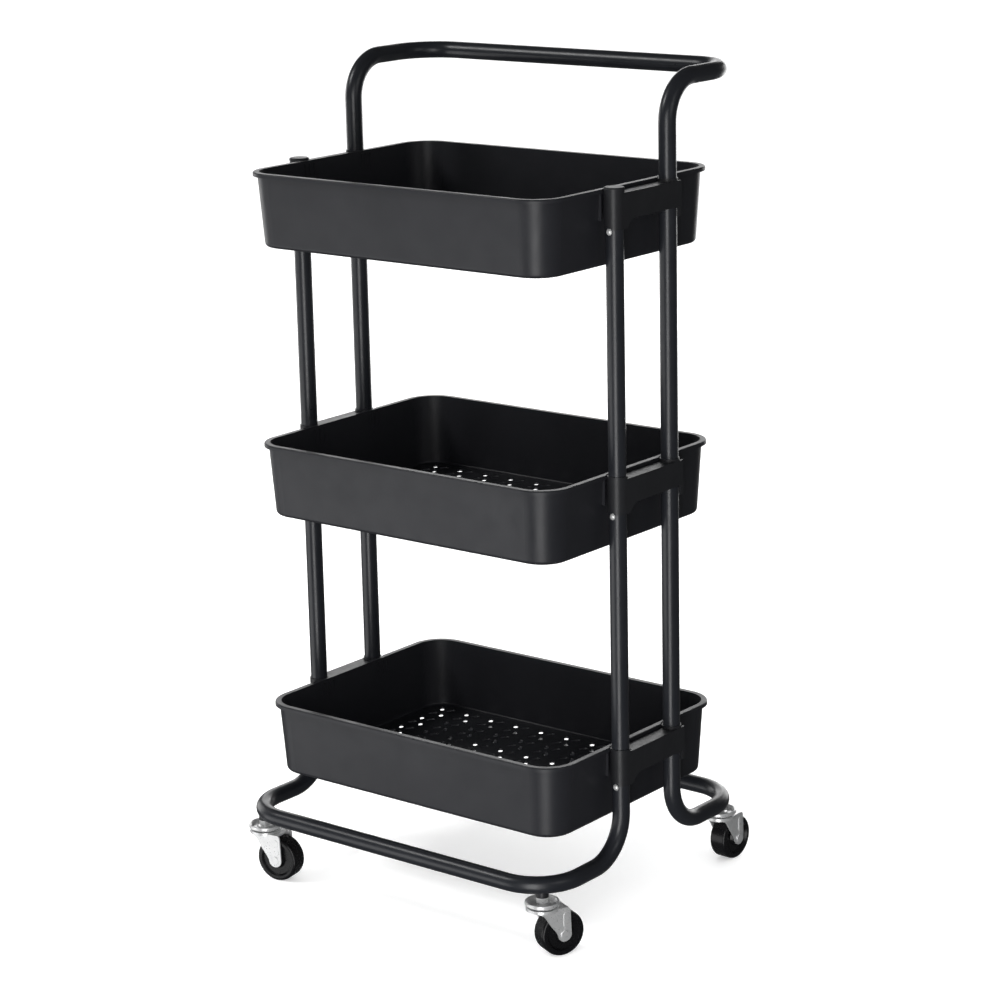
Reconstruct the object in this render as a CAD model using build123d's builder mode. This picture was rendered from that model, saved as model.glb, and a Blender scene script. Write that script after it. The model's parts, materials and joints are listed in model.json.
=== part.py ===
"""Three-tier household tool cart: bent steel tube frame, plastic trays, four swivel casters.

Frame of reference: origin on the floor below the middle of the trays, +X along the long side
of the trays, +Y towards the push handle, +Z up. All sizes are in millimetres.
"""
from math import cos, radians, sin
import os

from build123d import *

# Tube frame
TUBE_R = 9.0
TUBE_WALL = 1.2
TUBE_BORE_R = TUBE_R - TUBE_WALL
POST_X = 205.0
POST_Y = 45.0
BASE_Y = 171.0
BASE_Z = 76.5
BASE_DROP_BEND_R = 47.0
BASE_CORNER_R = 50.0
HANDLE_Y = 166.0
HANDLE_Z = 861.0
HANDLE_RISE_BEND_R = 43.0
HANDLE_CORNER_R = 46.0

# Tray levels, given by the height of each tray's rim
RIM_BOTTOM = 193.0
TIER_PITCH = 285.5
RIM_Z = {
    "bottom": RIM_BOTTOM,
    "middle": RIM_BOTTOM + TIER_PITCH,
    "top": RIM_BOTTOM + 2 * TIER_PITCH,
}

# Trays
TRAY_DEPTH = 78.0
TRAY_WALL = 2.0
TRAY_FLOOR = 2.0
TRAY_TOP_X = 193.0
TRAY_TOP_Y = 142.0
TRAY_DRAFT = 4.6
TRAY_TOP_CORNER_R = 31.0
TRAY_FOOT_R = 4.6
LIP_REACH = 4.5
LIP_DROP = 4.2
LIP_SKIN = 1.6
LIP_ROLL_R = 1.5
SLEEVE_NOTCH_R = 11.2
PETAL_PITCH_X = 35.5
PETAL_PITCH_Y = 36.4
PETAL_COLUMNS = 10
PETAL_ROWS = 7
PETAL_RING_R = 10.6
PETAL_LEAN = 54.6
PETAL_LENGTH = 11.0
PETAL_WIDTH = 4.8
RIB_SPACING = 7.0
RIB_WIDTH = 1.3
RIB_LENGTH = 27.0

# Side brackets
SLEEVE_H = 39.0
SLEEVE_SHORT_H = 30.0
SLEEVE_R = 10.2
SLEEVE_BORE_R = 9.1
WEB_OUTER_X = POST_X + SLEEVE_R
WEB_WALL = 2.4
WEB_TOP = 3.4
WEB_ARCH = 29.5
WEB_REAR_Y = 54.4
FLANGE_INNER_Y = 50.4
GUSSET_REACH = 15.5
NOTCH_R = 5.0
TONGUE_WIDTH = 3.0
STRIP_INNER_X = 199.2
LEDGE_INNER_X = 193.7

# Joints inside the tubes, screws and caps
JOINT_BELOW_RIM = 18.0
SPIGOT_R = 7.7
SPIGOT_BORE_R = 6.5
SPIGOT_LENGTH = 60.0
SCREW_BELOW_RIM = 41.0
SCREW_HEAD_R = 3.4
SCREW_SHANK_R = 1.9
SCREW_HOLE_R = 1.95
CAP_R = 10.5
CAP_TOP = 2.2
CAP_UNDER = 0.6

# Casters
WHEEL_R = 24.0
WHEEL_HALF_WIDTH = 10.0
TRAIL = 18.5
AXLE_Z = WHEEL_R
AXLE_R = 3.0
BUSHING_R = 5.2
FORK_GAP = 11.2
FORK_WALL = 1.6
FORK_TOP_Z = 52.6
FORK_DISC_R = 16.9
STEM_R = 4.0
CUP_R = 17.1
CUP_RIM_Z = 60.4
BALL_R = 1.2
BALL_RING_R = 12.0
BALL_COUNT = 16
SOCKET_NECK_R = 5.0
SOCKET_COLLAR_R = 6.6
SOCKET_FOOT_Z = 64.4
SOCKET_TOP_Z = BASE_Z + 5.0
NUT_TOP_Z = SOCKET_FOOT_Z
NUT_FOOT_Z = 59.2
CUP_FLOOR_Z = 57.6
CUP_SKIN = 1.4
STEM_TOP_Z = BASE_Z + 3.5
STEM_HEAD_Z = FORK_TOP_Z - FORK_WALL - 0.3
STEM_ANGLE = 48.0
CORNER_X = POST_X - BASE_CORNER_R * (1 - cos(radians(STEM_ANGLE)))
CORNER_Y = BASE_Y - BASE_CORNER_R * (1 - sin(radians(STEM_ANGLE)))
CASTERS = {
    "front_left": (-CORNER_X, -CORNER_Y, 10.0),
    "front_right": (CORNER_X, -CORNER_Y, 66.0),
    "rear_left": (-CORNER_X, CORNER_Y, 62.0),
    "rear_right": (CORNER_X, CORNER_Y, 88.0),
}

POSTS = {
    "front_left": (-POST_X, -POST_Y),
    "front_right": (POST_X, -POST_Y),
    "rear_left": (-POST_X, POST_Y),
    "rear_right": (POST_X, POST_Y),
}
JOINT_Z = {level: rim - JOINT_BELOW_RIM for level, rim in RIM_Z.items()}
SCREW_Z = {level: rim - SCREW_BELOW_RIM for level, rim in RIM_Z.items()}

os.makedirs("parts", exist_ok=True)


def save(builder, name):
    """Label one finished piece and write it as its own STEP file."""
    builder.part.label = name
    export_step(builder.part, f"parts/{name}.step")


def outward(y):
    """Direction along Y that points away from the cart's middle."""
    return -1 if y < 0 else 1


# ---------------------------------------------------------------- tube frame
def build_screw_drills(places):
    """Short rods that pierce the outward wall of a tube where its screws go in."""
    with BuildPart() as drills:
        for x, y, z in places:
            side = outward(y)
            with BuildSketch(Plane(origin=(x, y + side * TUBE_R * 1.3, z), z_dir=(0, -side, 0))):
                Circle(SCREW_HOLE_R)
            extrude(amount=TUBE_R)
    return drills


def build_bent_tube(corners, bend_radii):
    """Round tube swept along straight runs joined by tangent bends."""
    with BuildPart() as tube:
        with BuildLine():
            FilletPolyline(*corners, radius=bend_radii)
        with BuildSketch(Plane(origin=corners[0], z_dir=(0, 0, 1))):
            Circle(TUBE_R)
            Circle(TUBE_BORE_R, mode=Mode.SUBTRACT)
        sweep()
    return tube


def build_base_tube(side):
    """U-shaped foot tube: two uprights bend outwards and meet in one straight bar."""
    top = JOINT_Z["bottom"]
    corners = [
        (-POST_X, side * POST_Y, top),
        (-POST_X, side * POST_Y, BASE_Z),
        (-POST_X, side * BASE_Y, BASE_Z),
        (POST_X, side * BASE_Y, BASE_Z),
        (POST_X, side * POST_Y, BASE_Z),
        (POST_X, side * POST_Y, top),
    ]
    bends = [BASE_DROP_BEND_R, BASE_CORNER_R, BASE_CORNER_R, BASE_DROP_BEND_R]
    bare = build_bent_tube(corners, bends)
    drills = build_screw_drills([(x, side * POST_Y, SCREW_Z["bottom"]) for x in (-POST_X, POST_X)])
    with BuildPart() as tube:
        add(bare.part)
        add(drills.part, mode=Mode.SUBTRACT)
        with BuildSketch(Plane.XY.offset(BASE_Z - 2 * TUBE_R)):
            with Locations((-CORNER_X, side * CORNER_Y), (CORNER_X, side * CORNER_Y)):
                Circle(SOCKET_NECK_R + 0.1)
        extrude(amount=2 * TUBE_R, mode=Mode.SUBTRACT)
    return tube


def build_handle_tube():
    """Push handle: the rear uprights bend back and meet in one straight grip bar."""
    foot = JOINT_Z["top"]
    corners = [
        (-POST_X, POST_Y, foot),
        (-POST_X, POST_Y, HANDLE_Z),
        (-POST_X, HANDLE_Y, HANDLE_Z),
        (POST_X, HANDLE_Y, HANDLE_Z),
        (POST_X, POST_Y, HANDLE_Z),
        (POST_X, POST_Y, foot),
    ]
    bends = [HANDLE_RISE_BEND_R, HANDLE_CORNER_R, HANDLE_CORNER_R, HANDLE_RISE_BEND_R]
    return build_bent_tube(corners, bends)


def build_post(x, y, low, high, screw_z):
    """Straight tube between two levels, drilled near its top for a screw."""
    drills = build_screw_drills([(x, y, screw_z)])
    with BuildPart() as post:
        with BuildSketch(Plane.XY.offset(low)):
            with Locations((x, y)):
                Circle(TUBE_R)
                Circle(TUBE_BORE_R, mode=Mode.SUBTRACT)
        extrude(amount=high - low)
        add(drills.part, mode=Mode.SUBTRACT)
    return post


def build_spigots():
    """Short inner tubes that bridge every butt joint of the frame."""
    joints = [(x, y, JOINT_Z[level]) for level in ("bottom", "middle") for x, y in POSTS.values()]
    joints += [(x, y, JOINT_Z["top"]) for x, y in POSTS.values() if y > 0]
    screw_rise = JOINT_BELOW_RIM - SCREW_BELOW_RIM
    drills = build_screw_drills([(x, y, z + screw_rise) for x, y, z in joints])
    with BuildPart() as spigots:
        for x, y, z in joints:
            with BuildSketch(Plane.XY.offset(z - SPIGOT_LENGTH / 2)):
                with Locations((x, y)):
                    Circle(SPIGOT_R)
                    Circle(SPIGOT_BORE_R, mode=Mode.SUBTRACT)
            extrude(amount=SPIGOT_LENGTH)
        add(drills.part, mode=Mode.SUBTRACT)
    return spigots


def build_screws():
    """Domed screws that pin each tube joint and carry the bracket sleeve above them."""
    head_rise = 2.0
    dome_r = (SCREW_HEAD_R**2 + head_rise**2) / (2 * head_rise)
    shank = 4.5
    with BuildPart() as screws:
        for z in SCREW_Z.values():
            for x, y in POSTS.values():
                side = outward(y)
                seat = y + side * (TUBE_R + 0.05)
                axis = Axis((x, seat, z), (0, side, 0))
                with BuildSketch(Plane(origin=(x, seat, z), x_dir=(1, 0, 0), z_dir=(0, 0, side))):
                    with BuildLine():
                        Line((0, -shank), (SCREW_SHANK_R, -shank))
                        Line((SCREW_SHANK_R, -shank), (SCREW_SHANK_R, 0))
                        Line((SCREW_SHANK_R, 0), (SCREW_HEAD_R, 0))
                        RadiusArc((SCREW_HEAD_R, 0), (0, head_rise), -dome_r)
                        Line((0, head_rise), (0, -shank))
                    make_face()
                revolve(axis=axis)
    return screws


def build_post_cap(x, y):
    """Plug with a low domed head that closes the top of a front post."""
    rim = RIM_Z["top"]
    with BuildPart() as cap:
        with BuildSketch(Plane.XY.offset(rim - CAP_UNDER)):
            with Locations((x, y)):
                Circle(CAP_R)
        extrude(amount=CAP_TOP + CAP_UNDER)
        fillet(cap.edges().filter_by(GeomType.CIRCLE).sort_by(Axis.Z)[-1], 1.7)
        with BuildSketch(Plane.XY.offset(rim - CAP_UNDER)):
            with Locations((x, y)):
                Circle(TUBE_BORE_R - 0.1)
                Circle(TUBE_BORE_R - 2.0, mode=Mode.SUBTRACT)
        extrude(amount=-12.0)
    return cap


# ---------------------------------------------------------------- trays
def build_tray_block(rim, inset, floor_z, foot_r):
    """Drafted block with rounded corners, moved in by an inset from the tray's outer wall."""
    top_x = 2 * (TRAY_TOP_X - inset)
    top_y = 2 * (TRAY_TOP_Y - inset)
    draft = TRAY_DRAFT * (rim - floor_z) / TRAY_DEPTH
    with BuildPart() as block:
        with BuildSketch(Plane.XY.offset(floor_z)):
            RectangleRounded(top_x - 2 * draft, top_y - 2 * draft, TRAY_TOP_CORNER_R - inset - 2.0)
        with BuildSketch(Plane.XY.offset(rim)):
            RectangleRounded(top_x, top_y, TRAY_TOP_CORNER_R - inset)
        loft(ruled=True)
        fillet(block.faces().sort_by(Axis.Z)[0].edges(), foot_r)
    return block


def build_tray(rim):
    """Open tray: drafted walls, rolled lip, petal drain holes and guide ribs at the posts."""
    floor_z = rim - TRAY_DEPTH
    shell = build_tray_block(rim, 0.0, floor_z, TRAY_FOOT_R)
    hollow = build_tray_block(rim, TRAY_WALL, floor_z + TRAY_FLOOR, TRAY_FOOT_R - TRAY_FLOOR)
    lip_x = 2 * (TRAY_TOP_X + LIP_REACH)
    lip_y = 2 * (TRAY_TOP_Y + LIP_REACH)
    lip_corner = TRAY_TOP_CORNER_R + LIP_REACH
    groove_wall = 0.4
    with BuildPart() as tray:
        add(shell.part)
        # rolled lip around the rim
        with BuildSketch(Plane.XY.offset(rim - LIP_DROP)):
            RectangleRounded(lip_x, lip_y, lip_corner)
            RectangleRounded(2 * TRAY_TOP_X - 1.0, 2 * TRAY_TOP_Y - 1.0, TRAY_TOP_CORNER_R, mode=Mode.SUBTRACT)
        extrude(amount=LIP_DROP)
        fillet(tray.faces().sort_by(Axis.Z)[-1].outer_wire().edges(), LIP_ROLL_R)
        # outer guide ribs on the end walls, one pair at each post
        for end in (-1, 1):
            with BuildSketch(Plane.XY.offset(rim - LIP_DROP - RIB_LENGTH)):
                with Locations(*[
                    (end * (TRAY_TOP_X - 0.3), y + step * RIB_SPACING)
                    for y in (-POST_Y, POST_Y)
                    for step in (-1, 1)
                ]):
                    Rectangle(4.0, RIB_WIDTH)
            extrude(amount=RIB_LENGTH + 1.0)
        add(hollow.part, mode=Mode.SUBTRACT)
        # groove under the lip, so that the rim is a thin rolled section
        with BuildSketch(Plane.XY.offset(rim - LIP_DROP)):
            RectangleRounded(lip_x - 2 * LIP_SKIN, lip_y - 2 * LIP_SKIN, lip_corner - LIP_SKIN)
            RectangleRounded(
                2 * (TRAY_TOP_X + groove_wall), 2 * (TRAY_TOP_Y + groove_wall),
                TRAY_TOP_CORNER_R + groove_wall, mode=Mode.SUBTRACT,
            )
        extrude(amount=LIP_DROP - LIP_SKIN, mode=Mode.SUBTRACT)
        # the lip is cut back where the bracket sleeves pass
        with BuildSketch(Plane.XY.offset(rim - LIP_DROP - RIB_LENGTH - 1.0)):
            with Locations(*POSTS.values()):
                Circle(SLEEVE_NOTCH_R)
        extrude(amount=LIP_DROP + RIB_LENGTH + 2.0, mode=Mode.SUBTRACT)
        # three thin vertical ribs inside the end walls at each post
        for end in (-1, 1):
            with BuildSketch(Plane.XY.offset(rim - 3.0 - RIB_LENGTH)):
                with Locations(*[
                    (end * (TRAY_TOP_X - TRAY_WALL - 0.7), y + step * RIB_SPACING)
                    for y in (-POST_Y, POST_Y)
                    for step in (-1, 0, 1)
                ]):
                    Rectangle(1.2, RIB_WIDTH)
            extrude(amount=RIB_LENGTH)
        # groups of four petal-shaped drain holes in the floor
        with BuildSketch(Plane.XY.offset(floor_z - 1.0)):
            for lean in (PETAL_LEAN, 180 - PETAL_LEAN):
                with GridLocations(PETAL_PITCH_X, PETAL_PITCH_Y, PETAL_COLUMNS, PETAL_ROWS):
                    with PolarLocations(PETAL_RING_R, 2, start_angle=lean):
                        SlotOverall(PETAL_LENGTH, PETAL_WIDTH)
        extrude(amount=TRAY_FLOOR + 2.0, mode=Mode.SUBTRACT)
    return tray


# ---------------------------------------------------------------- side brackets
def build_side_bracket(side, rim):
    """Moulded bracket: a long front and a short rear sleeve, an arched web and a tray ledge."""
    foot = rim - SLEEVE_H
    sleeve_top = rim - CAP_UNDER
    post_places = [(side * POST_X, -POST_Y), (side * POST_X, POST_Y)]
    inner_span = 2 * (POST_Y - SLEEVE_R + 1.5)
    web_x = side * (WEB_OUTER_X - WEB_WALL)
    gusset_y = GUSSET_REACH + SLEEVE_R - POST_Y - 1.0
    with BuildPart() as bracket:
        # web between the sleeves: arched below, with a squared flange behind the rear sleeve
        with BuildSketch(Plane(origin=(web_x, 0, 0), x_dir=(0, 1, 0), z_dir=(1, 0, 0))):
            with Locations(((WEB_REAR_Y - POST_Y) / 2, (foot + rim - WEB_TOP) / 2)):
                Rectangle(WEB_REAR_Y + POST_Y, SLEEVE_H - WEB_TOP)
            with Locations(((FLANGE_INNER_Y + gusset_y) / 2, foot)):
                Rectangle(FLANGE_INNER_Y - gusset_y, 2 * (SLEEVE_H - WEB_ARCH), mode=Mode.SUBTRACT)
            with Locations((gusset_y, foot)):
                Ellipse(GUSSET_REACH, SLEEVE_H - WEB_ARCH, mode=Mode.SUBTRACT)
        extrude(amount=side * WEB_WALL)
        # flat strip along the top and the ledge that the tray lip rests on
        strip_mid = (STRIP_INNER_X + WEB_OUTER_X) / 2
        with BuildSketch(Plane.XY.offset(rim - WEB_TOP)):
            with Locations((side * strip_mid, 0)):
                Rectangle(WEB_OUTER_X - STRIP_INNER_X, inner_span)
        extrude(amount=-2.0)
        ledge_mid = (LEDGE_INNER_X + STRIP_INNER_X + 2.0) / 2
        with BuildSketch(Plane.XY.offset(rim - LIP_DROP - 0.15)):
            with Locations((side * ledge_mid, 0)):
                Rectangle(STRIP_INNER_X + 2.0 - LEDGE_INNER_X, inner_span)
        extrude(amount=-2.4)
        # stiffening ribs behind the web, showing a little below its arch
        with BuildSketch(Plane.XY.offset(rim - WEB_TOP - 1.0)):
            with Locations(*[(side * (WEB_OUTER_X - 4.0), step * 9.5) for step in (-2, -1, 0, 1, 2)]):
                Rectangle(6.4, 2.2)
        extrude(amount=WEB_TOP + 1.0 - WEB_ARCH - 1.2)
        # sleeves: the front one is longer than the rear one
        with BuildSketch(Plane.XY.offset(sleeve_top)):
            with Locations(post_places[0]):
                Circle(SLEEVE_R)
        extrude(amount=foot - sleeve_top)
        with BuildSketch(Plane.XY.offset(sleeve_top)):
            with Locations(post_places[1]):
                Circle(SLEEVE_R)
        extrude(amount=CAP_UNDER - SLEEVE_SHORT_H)
        # thin tongues between each sleeve and the tray's guide ribs
        tongue_inner = TRAY_TOP_X + 0.4
        tongue_mid = (tongue_inner + POST_X - SLEEVE_BORE_R) / 2
        with BuildSketch(Plane.XY.offset(rim - SLEEVE_SHORT_H)):
            with Locations(*[(side * tongue_mid, y) for y in (-POST_Y, POST_Y)]):
                Rectangle(POST_X - SLEEVE_BORE_R - tongue_inner, TONGUE_WIDTH)
        extrude(amount=SLEEVE_SHORT_H - 8.0)
        # bores for the posts
        with BuildSketch(Plane.XY.offset(foot - 1.0)):
            with Locations(*post_places):
                Circle(SLEEVE_BORE_R)
        extrude(amount=SLEEVE_H + 2.0, mode=Mode.SUBTRACT)
        # half-round notch above the front screw
        notch = Plane(origin=(side * POST_X, -POST_Y - 2 * SLEEVE_R, rim - SCREW_BELOW_RIM), z_dir=(0, 1, 0))
        with BuildSketch(notch):
            Circle(NOTCH_R)
        extrude(amount=2 * SLEEVE_R - 4.0, mode=Mode.SUBTRACT)
    return bracket


# ---------------------------------------------------------------- casters
def caster_frame(x, y, heading):
    """Plane at floor level on the swivel axis, its X axis pointing along the trail."""
    turn = radians(heading)
    return Plane(origin=(x, y, 0), x_dir=(cos(turn), sin(turn), 0), z_dir=(0, 0, 1))


def upright(frame):
    """Vertical plane through the swivel axis: local X along the trail, local Y up."""
    return Plane(origin=frame.origin, x_dir=frame.x_dir, z_dir=-frame.y_dir)


def swivel_axis(frame):
    return Axis(frame.origin, (0, 0, 1))


def build_socket(frame, base_side):
    """Plastic socket pressed up into the foot tube; its collar is saddle-shaped on top."""
    centre = (
        (POST_X - BASE_CORNER_R) * (1 if frame.origin.X > 0 else -1),
        base_side * (BASE_Y - BASE_CORNER_R),
        BASE_Z,
    )
    with BuildPart() as bend:
        with BuildSketch(Plane(origin=centre, x_dir=(1, 0, 0), z_dir=(0, 1, 0))):
            with Locations((BASE_CORNER_R, 0)):
                Circle(TUBE_R + 0.05)
        revolve(axis=Axis(centre, (0, 0, 1)))
    with BuildPart() as socket:
        with BuildSketch(frame.offset(SOCKET_FOOT_Z)):
            Circle(SOCKET_COLLAR_R)
        extrude(amount=6.5)
        add(bend.part, mode=Mode.SUBTRACT)
        with BuildSketch(frame.offset(SOCKET_FOOT_Z)):
            Circle(SOCKET_NECK_R)
        extrude(amount=SOCKET_TOP_Z - SOCKET_FOOT_Z)
        with BuildSketch(frame.offset(SOCKET_FOOT_Z)):
            Circle(STEM_R + 0.05)
        extrude(amount=STEM_TOP_Z + 0.5 - SOCKET_FOOT_Z, mode=Mode.SUBTRACT)
    return socket


def build_stem(frame):
    """Steel stem: pin in the socket, hexagon collar on the cup, riveted head below the fork."""
    with BuildPart() as stem:
        with BuildSketch(frame.offset(STEM_HEAD_Z)):
            Circle(STEM_R)
        extrude(amount=STEM_TOP_Z - STEM_HEAD_Z)
        with BuildSketch(frame.offset(NUT_FOOT_Z)):
            RegularPolygon(radius=6.0, side_count=6, major_radius=False)
        extrude(amount=NUT_TOP_Z - 0.1 - NUT_FOOT_Z)
        with BuildSketch(frame.offset(STEM_HEAD_Z)):
            Circle(7.0)
        extrude(amount=-1.6)
        fillet(stem.edges().filter_by(GeomType.CIRCLE).sort_by(Axis.Z)[0], 1.0)
        fillet(stem.edges().filter_by(GeomType.CIRCLE).sort_by(Axis.Z)[-1], 0.8)
    return stem


def build_cup(frame):
    """Pressed upper cup: flat seat for the stem collar, dish and raised rim over the balls."""
    lip = 1.3
    with BuildPart() as cup:
        with BuildSketch(upright(frame)):
            with BuildLine():
                Polyline(
                    (STEM_R + 0.05, CUP_FLOOR_Z),
                    (7.6, CUP_FLOOR_Z),
                    (9.6, CUP_FLOOR_Z - 1.0),
                    (13.6, CUP_FLOOR_Z - 1.0),
                    (CUP_R - 1.6, CUP_RIM_Z - 0.6),
                    (CUP_R - 0.6, CUP_RIM_Z),
                )
                RadiusArc((CUP_R - 0.6, CUP_RIM_Z), (CUP_R + 0.7, CUP_RIM_Z - lip), lip)
                Polyline(
                    (CUP_R + 0.7, CUP_RIM_Z - lip),
                    (CUP_R + 0.7, CUP_RIM_Z - 3.2),
                    (CUP_R - 0.4, CUP_RIM_Z - 3.2),
                    (CUP_R - 1.6, CUP_FLOOR_Z - 2.3),
                    (9.0, CUP_FLOOR_Z - 2.3),
                    (7.0, CUP_FLOOR_Z - CUP_SKIN),
                    (STEM_R + 0.05, CUP_FLOOR_Z - CUP_SKIN),
                    (STEM_R + 0.05, CUP_FLOOR_Z),
                )
            make_face()
        revolve(axis=swivel_axis(frame))
    return cup


def build_ball_ring(frame):
    """Ring of steel balls between the cup and the fork."""
    with BuildPart() as balls:
        with Locations(frame.offset(FORK_TOP_Z + BALL_R)):
            with PolarLocations(BALL_RING_R, BALL_COUNT):
                Sphere(BALL_R)
    return balls


def build_fork(frame):
    """Pressed fork: round raceway plate, bridge over the wheel and two tapering legs."""
    leg_end_r = 7.6
    trailing = TRAIL + 6.6
    plate_foot = FORK_TOP_Z - FORK_WALL
    leg_outer = FORK_GAP + FORK_WALL
    with BuildPart() as fork:
        # legs, one on each side of the wheel
        for hand in (-1, 1):
            with BuildSketch(upright(frame).offset(-hand * FORK_GAP)):
                with BuildLine():
                    Polyline(
                        (TRAIL - leg_end_r, AXLE_Z),
                        (TRAIL - leg_end_r - 2.2, AXLE_Z + 4.0),
                        (TRAIL - 15.8, AXLE_Z + 12.0),
                        (TRAIL - 21.0, AXLE_Z + 20.5),
                        (-5.5, plate_foot - 2.8),
                        (-9.5, plate_foot - 1.0),
                        (-9.5, FORK_TOP_Z),
                        (trailing - 2.0, FORK_TOP_Z),
                        (trailing, FORK_TOP_Z - 2.5),
                        (TRAIL + leg_end_r, AXLE_Z),
                    )
                    ThreePointArc(
                        (TRAIL + leg_end_r, AXLE_Z),
                        (TRAIL, AXLE_Z - leg_end_r),
                        (TRAIL - leg_end_r, AXLE_Z),
                    )
                make_face()
            extrude(amount=-hand * FORK_WALL)
            # pressed stiffening rib up the leg
            with BuildSketch(upright(frame).offset(-hand * leg_outer)):
                with Locations((TRAIL + 1.6, AXLE_Z + 15.0)):
                    SlotOverall(17.0, 5.6, rotation=90)
            extrude(amount=-hand * 0.5)
        # raceway plate and bridge
        with BuildSketch(frame.offset(plate_foot)):
            Circle(FORK_DISC_R)
            with Locations((trailing / 2 - 1.0, 0)):
                Rectangle(trailing - 2.0, 2 * leg_outer)
        extrude(amount=FORK_WALL)
        # raised ring around the raceway
        with BuildSketch(frame.offset(FORK_TOP_Z)):
            Circle(FORK_DISC_R)
            Circle(FORK_DISC_R - 1.6, mode=Mode.SUBTRACT)
        extrude(amount=1.5)
        # stem hole, open space for the wheel at the back of the bridge, axle holes
        with BuildSketch(frame.offset(plate_foot - 1.0)):
            Circle(STEM_R + 0.08)
        extrude(amount=FORK_WALL + 2.0, mode=Mode.SUBTRACT)
        with BuildSketch(upright(frame).offset(-leg_outer - 1.0)):
            with Locations((TRAIL, AXLE_Z)):
                Circle(AXLE_R + 0.05)
        extrude(amount=2 * (leg_outer + 1.0), mode=Mode.SUBTRACT)
    return fork


def build_axle(frame):
    """Axle rivet through both fork legs."""
    half = FORK_GAP + FORK_WALL + 0.05
    head_r = 4.4
    head = 1.2
    with BuildPart() as axle:
        with BuildSketch(upright(frame).offset(-half)):
            with Locations((TRAIL, AXLE_Z)):
                Circle(AXLE_R)
        extrude(amount=2 * half)
        for hand in (-1, 1):
            with BuildSketch(upright(frame).offset(hand * half)):
                with Locations((TRAIL, AXLE_Z)):
                    Circle(head_r)
            extrude(amount=hand * head)
    return axle


def wheel_axis(frame):
    hub = frame.origin + frame.x_dir * TRAIL + Vector(0, 0, AXLE_Z)
    return Axis(hub, frame.y_dir)


def build_wheel(frame):
    """Solid wheel: rounded tread, recessed side faces with a raised hub."""
    hub = frame.origin + frame.x_dir * TRAIL + Vector(0, 0, AXLE_Z)
    half = WHEEL_HALF_WIDTH
    edge = 3.0
    recess = half - 2.6
    with BuildPart() as wheel:
        with BuildSketch(Plane(origin=hub, x_dir=frame.y_dir, z_dir=frame.x_dir)):
            with BuildLine():
                Polyline(
                    (-half + edge, WHEEL_R),
                    (half - edge, WHEEL_R),
                )
                RadiusArc((half - edge, WHEEL_R), (half, WHEEL_R - edge), edge)
                Polyline(
                    (half, WHEEL_R - edge),
                    (half, WHEEL_R - 5.4),
                    (recess, WHEEL_R - 7.2),
                    (recess, BUSHING_R + 4.6),
                    (half + 0.6, BUSHING_R + 3.0),
                    (half + 0.6, BUSHING_R + 0.03),
                    (-half - 0.6, BUSHING_R + 0.03),
                    (-half - 0.6, BUSHING_R + 3.0),
                    (-recess, BUSHING_R + 4.6),
                    (-recess, WHEEL_R - 7.2),
                    (-half, WHEEL_R - 5.4),
                    (-half, WHEEL_R - edge),
                )
                RadiusArc((-half, WHEEL_R - edge), (-half + edge, WHEEL_R), edge)
            make_face()
        revolve(axis=wheel_axis(frame))
    return wheel


def build_bushing(frame):
    """Plain bushing in the wheel's hub, turning on the axle."""
    half = WHEEL_HALF_WIDTH + 0.8
    with BuildPart() as bushing:
        with BuildSketch(upright(frame).offset(-half)):
            with Locations((TRAIL, AXLE_Z)):
                Circle(BUSHING_R)
                Circle(AXLE_R + 0.06, mode=Mode.SUBTRACT)
        extrude(amount=2 * half)
    return bushing


# ---------------------------------------------------------------- make and save every piece
save(build_base_tube(-1), "base_tube_front")
save(build_base_tube(1), "base_tube_rear")
save(build_handle_tube(), "handle_tube")
for corner, (px, py) in POSTS.items():
    top_end = RIM_Z["top"] - CAP_UNDER - 0.1 if py < 0 else JOINT_Z["top"]
    save(build_post(px, py, JOINT_Z["bottom"], JOINT_Z["middle"], SCREW_Z["middle"]), f"post_lower_{corner}")
    save(build_post(px, py, JOINT_Z["middle"], top_end, SCREW_Z["top"]), f"post_upper_{corner}")
save(build_spigots(), "tube_joint_spigots")
save(build_screws(), "bracket_screws")
save(build_post_cap(-POST_X, -POST_Y), "post_cap_left")
save(build_post_cap(POST_X, -POST_Y), "post_cap_right")
for level, rim_height in RIM_Z.items():
    save(build_tray(rim_height), f"tray_{level}")
    save(build_side_bracket(-1, rim_height), f"side_bracket_{level}_left")
    save(build_side_bracket(1, rim_height), f"side_bracket_{level}_right")
for place, (cx, cy, heading) in CASTERS.items():
    swivel = caster_frame(cx, cy, heading)
    save(build_socket(swivel, outward(cy)), f"caster_socket_{place}")
    save(build_stem(swivel), f"caster_stem_{place}")
    save(build_cup(swivel), f"caster_cup_{place}")
    save(build_ball_ring(swivel), f"caster_balls_{place}")
    save(build_fork(swivel), f"caster_fork_{place}")
    save(build_axle(swivel), f"caster_axle_{place}")
    save(build_wheel(swivel), f"caster_wheel_{place}")
    save(build_bushing(swivel), f"caster_bushing_{place}")
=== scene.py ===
"""Final look of the three-tier tool cart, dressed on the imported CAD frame."""
import json
import math

import bpy
from mathutils import Matrix, Vector

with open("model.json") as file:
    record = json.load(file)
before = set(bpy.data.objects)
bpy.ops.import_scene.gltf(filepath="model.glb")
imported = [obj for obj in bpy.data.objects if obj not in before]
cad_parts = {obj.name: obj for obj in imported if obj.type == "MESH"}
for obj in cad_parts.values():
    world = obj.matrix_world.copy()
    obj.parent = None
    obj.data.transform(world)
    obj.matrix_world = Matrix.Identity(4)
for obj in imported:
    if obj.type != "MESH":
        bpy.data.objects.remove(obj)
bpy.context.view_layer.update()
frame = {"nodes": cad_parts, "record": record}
nodes = frame["nodes"]
scene = bpy.context.scene


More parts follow.
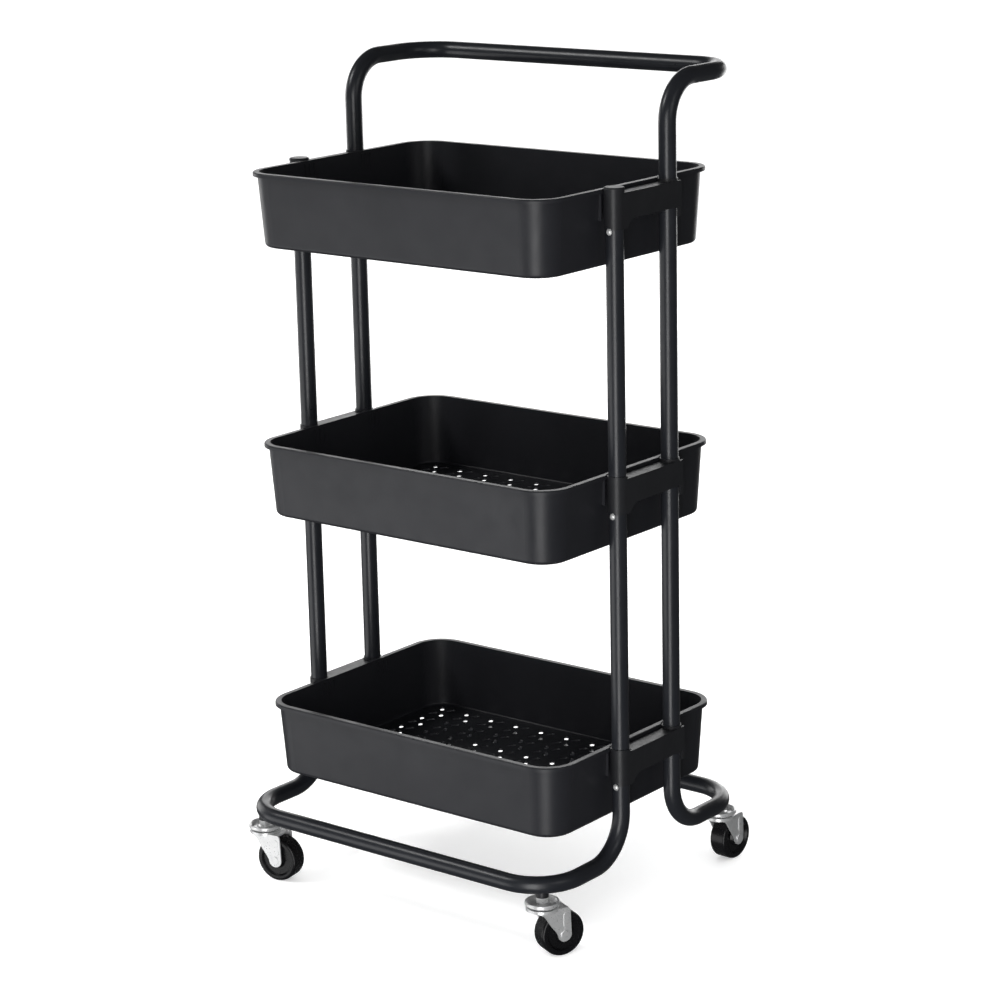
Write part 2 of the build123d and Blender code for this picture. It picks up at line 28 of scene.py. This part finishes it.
# ------------------------------------------------------------------ materials
def ramp_range(tree, source, low, high, low_out, high_out):
    """Map a 0-1 noise value between two input levels to two output levels."""
    node = tree.nodes.new("ShaderNodeMapRange")
    node.inputs["From Min"].default_value = low
    node.inputs["From Max"].default_value = high
    node.inputs["To Min"].default_value = low_out
    node.inputs["To Max"].default_value = high_out
    tree.links.new(source, node.inputs["Value"])
    return node.outputs["Result"]


def noise(tree, coords, scale, detail=3.0, roughness=0.55):
    """Procedural noise in object space; scale is in cells per metre."""
    node = tree.nodes.new("ShaderNodeTexNoise")
    node.inputs["Scale"].default_value = scale
    node.inputs["Detail"].default_value = detail
    node.inputs["Roughness"].default_value = roughness
    tree.links.new(coords, node.inputs["Vector"])
    return node.outputs["Fac"]


def bump(tree, height, distance, strength, normal=None):
    """Add one layer of surface relief; distance is in metres."""
    node = tree.nodes.new("ShaderNodeBump")
    node.inputs["Strength"].default_value = strength
    node.inputs["Distance"].default_value = distance
    tree.links.new(height, node.inputs["Height"])
    if normal is not None:
        tree.links.new(normal, node.inputs["Normal"])
    return node.outputs["Normal"]


def surface(name, dark, light, rough, metallic=0.0, grain=(900.0, 0.00006, 0.5), waves=None,
            mottle=14.0, stretch=(1, 1, 1), specular=0.5):
    """A painted, moulded or plated surface with mottled colour, uneven gloss and fine relief.

    dark and light are the two ends of the colour, rough the range of roughness. grain and waves
    are layers of relief: cells per metre, height in metres, strength. mottle is in cells per metre.
    """
    mat = bpy.data.materials.new(name)
    mat.use_nodes = True
    tree = mat.node_tree
    shader = tree.nodes["Principled BSDF"]
    where = tree.nodes.new("ShaderNodeTexCoord")
    squeeze = tree.nodes.new("ShaderNodeMapping")
    squeeze.inputs["Scale"].default_value = stretch
    tree.links.new(where.outputs["Object"], squeeze.inputs["Vector"])
    coords = squeeze.outputs["Vector"]

    broad = noise(tree, coords, mottle, 4.0)
    fine = noise(tree, coords, grain[0], 2.0)
    mixer = tree.nodes.new("ShaderNodeMix")
    mixer.data_type = "RGBA"
    mixer.inputs["A"].default_value = (*dark, 1.0)
    mixer.inputs["B"].default_value = (*light, 1.0)
    blend = tree.nodes.new("ShaderNodeMath")
    blend.operation = "MULTIPLY_ADD"
    blend.inputs[1].default_value = 0.6
    tree.links.new(ramp_range(tree, broad, 0.3, 0.7, 0.0, 1.0), blend.inputs[0])
    tree.links.new(ramp_range(tree, fine, 0.3, 0.7, 0.0, 0.4), blend.inputs[2])
    tree.links.new(blend.outputs[0], mixer.inputs["Factor"])
    tree.links.new(mixer.outputs["Result"], shader.inputs["Base Color"])

    patch = noise(tree, coords, mottle * 5.0, 4.0, 0.6)
    tree.links.new(ramp_range(tree, patch, 0.25, 0.75, rough[0], rough[1]), shader.inputs["Roughness"])
    normal = bump(tree, fine, grain[1], grain[2])
    if waves is not None:
        normal = bump(tree, noise(tree, coords, waves[0], 2.0), waves[1], waves[2], normal)
    tree.links.new(normal, shader.inputs["Normal"])
    shader.inputs["Metallic"].default_value = metallic
    shader.inputs["Specular IOR Level"].default_value = specular
    return mat


looks = {
    "frame_paint": surface("frame_paint", (0.016, 0.018, 0.023), (0.026, 0.028, 0.034), (0.27, 0.38),
                           grain=(1500.0, 0.00004, 0.35), waves=(260.0, 0.0001, 0.15), mottle=18.0),
    "tray_plastic": surface("tray_plastic", (0.019, 0.02, 0.024), (0.028, 0.0285, 0.034), (0.36, 0.46),
                            grain=(1900.0, 0.00005, 0.4), waves=(35.0, 0.0007, 0.08),
                            mottle=9.0, specular=0.4),
    "bracket_plastic": surface("bracket_plastic", (0.017, 0.0175, 0.02), (0.025, 0.0258, 0.029), (0.36, 0.48),
                               grain=(2200.0, 0.00005, 0.4), waves=(120.0, 0.0002, 0.12),
                               mottle=30.0, specular=0.4),
    "bright_screw": surface("bright_screw", (0.86, 0.86, 0.85), (0.96, 0.96, 0.95), (0.2, 0.34),
                            metallic=0.4, grain=(2600.0, 0.00003, 0.4), mottle=220.0),
    "zinc_plate": surface("zinc_plate", (0.8, 0.81, 0.81), (0.95, 0.95, 0.95), (0.24, 0.38),
                          metallic=0.5, grain=(1800.0, 0.00003, 0.3), waves=(300.0, 0.0001, 0.2),
                          mottle=120.0),
    "inner_steel": surface("inner_steel", (0.3, 0.3, 0.31), (0.45, 0.45, 0.46), (0.35, 0.5),
                           metallic=1.0, grain=(1200.0, 0.00004, 0.4), mottle=60.0, stretch=(1, 1, 0.15)),
    "ball_steel": surface("ball_steel", (0.6, 0.6, 0.61), (0.8, 0.8, 0.8), (0.08, 0.18),
                          metallic=1.0, grain=(2500.0, 0.00001, 0.2), mottle=400.0),
    "wheel_black": surface("wheel_black", (0.005, 0.005, 0.006), (0.01, 0.01, 0.011), (0.2, 0.32),
                           grain=(1600.0, 0.00002, 0.12), waves=(160.0, 0.0002, 0.1),
                           mottle=60.0, specular=0.3),
    "bushing_plastic": surface("bushing_plastic", (0.02, 0.02, 0.02), (0.035, 0.035, 0.035), (0.35, 0.5),
                               grain=(1500.0, 0.00004, 0.4), mottle=90.0),
}
slots = {s["node"]: s["material_slot"] for s in frame["record"]["subparts"]}
for name, obj in nodes.items():
    obj.data.materials.clear()
    obj.data.materials.append(looks[slots[name]])


# ------------------------------------------------------------------ lights
def area_light(name, place, target, width, height, power):
    """Soft box that points at a target; sizes in metres, power in watts."""
    data = bpy.data.lights.new(name, "AREA")
    data.shape = "RECTANGLE"
    data.size, data.size_y = width, height
    data.energy = power
    lamp = bpy.data.objects.new(name, data)
    lamp.visible_camera = False
    scene.collection.objects.link(lamp)
    lamp.location = place
    lamp.rotation_euler = (Vector(target) - Vector(place)).to_track_quat("-Z", "Y").to_euler()


area_light("window_light", (1.08, -1.92, 0.1), (0, 0, 0.3), 0.95, 2.4, 31.0)
area_light("floor_bounce", (-1.55, -1.75, -0.35), (0, 0, 0.35), 2.4, 1.3, 15.0)
area_light("key_light", (-1.6, -1.4, 2.3), (0, 0, 0.5), 0.7, 0.7, 17.0)
area_light("back_light", (-2.4, 3.0, 1.3), (0, 0, 0.4), 2.6, 1.5, 30.0)
area_light("rear_fill", (-0.6, 3.2, 0.5), (0, 0, 0.4), 1.7, 1.7, 24.0)
area_light("left_fill", (-3.1, 0.3, 0.5), (0, 0, 0.4), 1.7, 1.7, 18.0)
area_light("side_fill", (2.7, -0.45, 1.5), (0, 0, 0.4), 1.2, 1.2, 5.0)

world = bpy.data.worlds.new("studio")
scene.world = world
world.use_nodes = True
world.node_tree.nodes["Background"].inputs["Color"].default_value = (0.96, 0.98, 1.0, 1.0)
world.node_tree.nodes["Background"].inputs["Strength"].default_value = 0.08


# ------------------------------------------------------------------ floor and backdrop
FLOOR_SIZE = 60.0
BACKDROP_RADIUS = 29.0


def stage_surface(obj, name, color, emission):
    """Plain matt finish; the camera sees it, but the cart doesn't reflect it."""
    mat = bpy.data.materials.new(name)
    mat.use_nodes = True
    shader = mat.node_tree.nodes["Principled BSDF"]
    shader.inputs["Base Color"].default_value = color
    shader.inputs["Roughness"].default_value = 1.0
    shader.inputs["Specular IOR Level"].default_value = 0.0
    shader.inputs["Emission Color"].default_value = (1.0, 1.0, 1.0, 1.0)
    shader.inputs["Emission Strength"].default_value = emission
    obj.data.materials.append(mat)
    obj.visible_diffuse = False
    obj.visible_glossy = False
    obj.visible_shadow = False


bpy.ops.mesh.primitive_plane_add(size=FLOOR_SIZE, location=(0, 0, 0))
floor = bpy.context.object
floor.name = "studio_floor"
stage_surface(floor, "floor_paper", (0.85, 0.85, 0.85, 1.0), 0.35)
bpy.ops.mesh.primitive_uv_sphere_add(segments=48, ring_count=24, radius=BACKDROP_RADIUS, location=(0, 0, 0))
backdrop = bpy.context.object
backdrop.name = "studio_backdrop"
stage_surface(backdrop, "backdrop_paper", (0.0, 0.0, 0.0, 1.0), 1.05)

# broad overhead light that falls on the floor alone, so the cart still shades it softly
floor_only = bpy.data.collections.new("floor_only")
floor_only.objects.link(floor)
floor_data = bpy.data.lights.new("floor_light", "SUN")
floor_data.energy = 2.9
floor_data.angle = math.radians(150.0)
floor_lamp = bpy.data.objects.new("floor_light", floor_data)
scene.collection.objects.link(floor_lamp)
floor_lamp.light_linking.receiver_collection = floor_only

scene.view_settings.view_transform = "Standard"

# ------------------------------------------------------------------ camera
CAMERA_PLACE = (1.86746, -2.31480, 1.18804)
CAMERA_LENS = 105.165
yaw, pitch, roll = math.radians(38.604), math.radians(-14.607), math.radians(-1.269)
forward = Vector((-math.sin(yaw) * math.cos(pitch), math.cos(yaw) * math.cos(pitch), math.sin(pitch)))
level_right = Vector((math.cos(yaw), math.sin(yaw), 0.0))
level_up = level_right.cross(forward)
right = math.cos(roll) * level_right + math.sin(roll) * level_up
up = -math.sin(roll) * level_right + math.cos(roll) * level_up
camera_data = bpy.data.cameras.new("camera")
camera_data.lens = CAMERA_LENS
camera_data.sensor_width = 36.0
camera = bpy.data.objects.new("camera", camera_data)
scene.collection.objects.link(camera)
camera.matrix_world = Matrix((
    (right.x, up.x, -forward.x, CAMERA_PLACE[0]),
    (right.y, up.y, -forward.y, CAMERA_PLACE[1]),
    (right.z, up.z, -forward.z, CAMERA_PLACE[2]),
    (0.0, 0.0, 0.0, 1.0),
))
scene.camera = camera
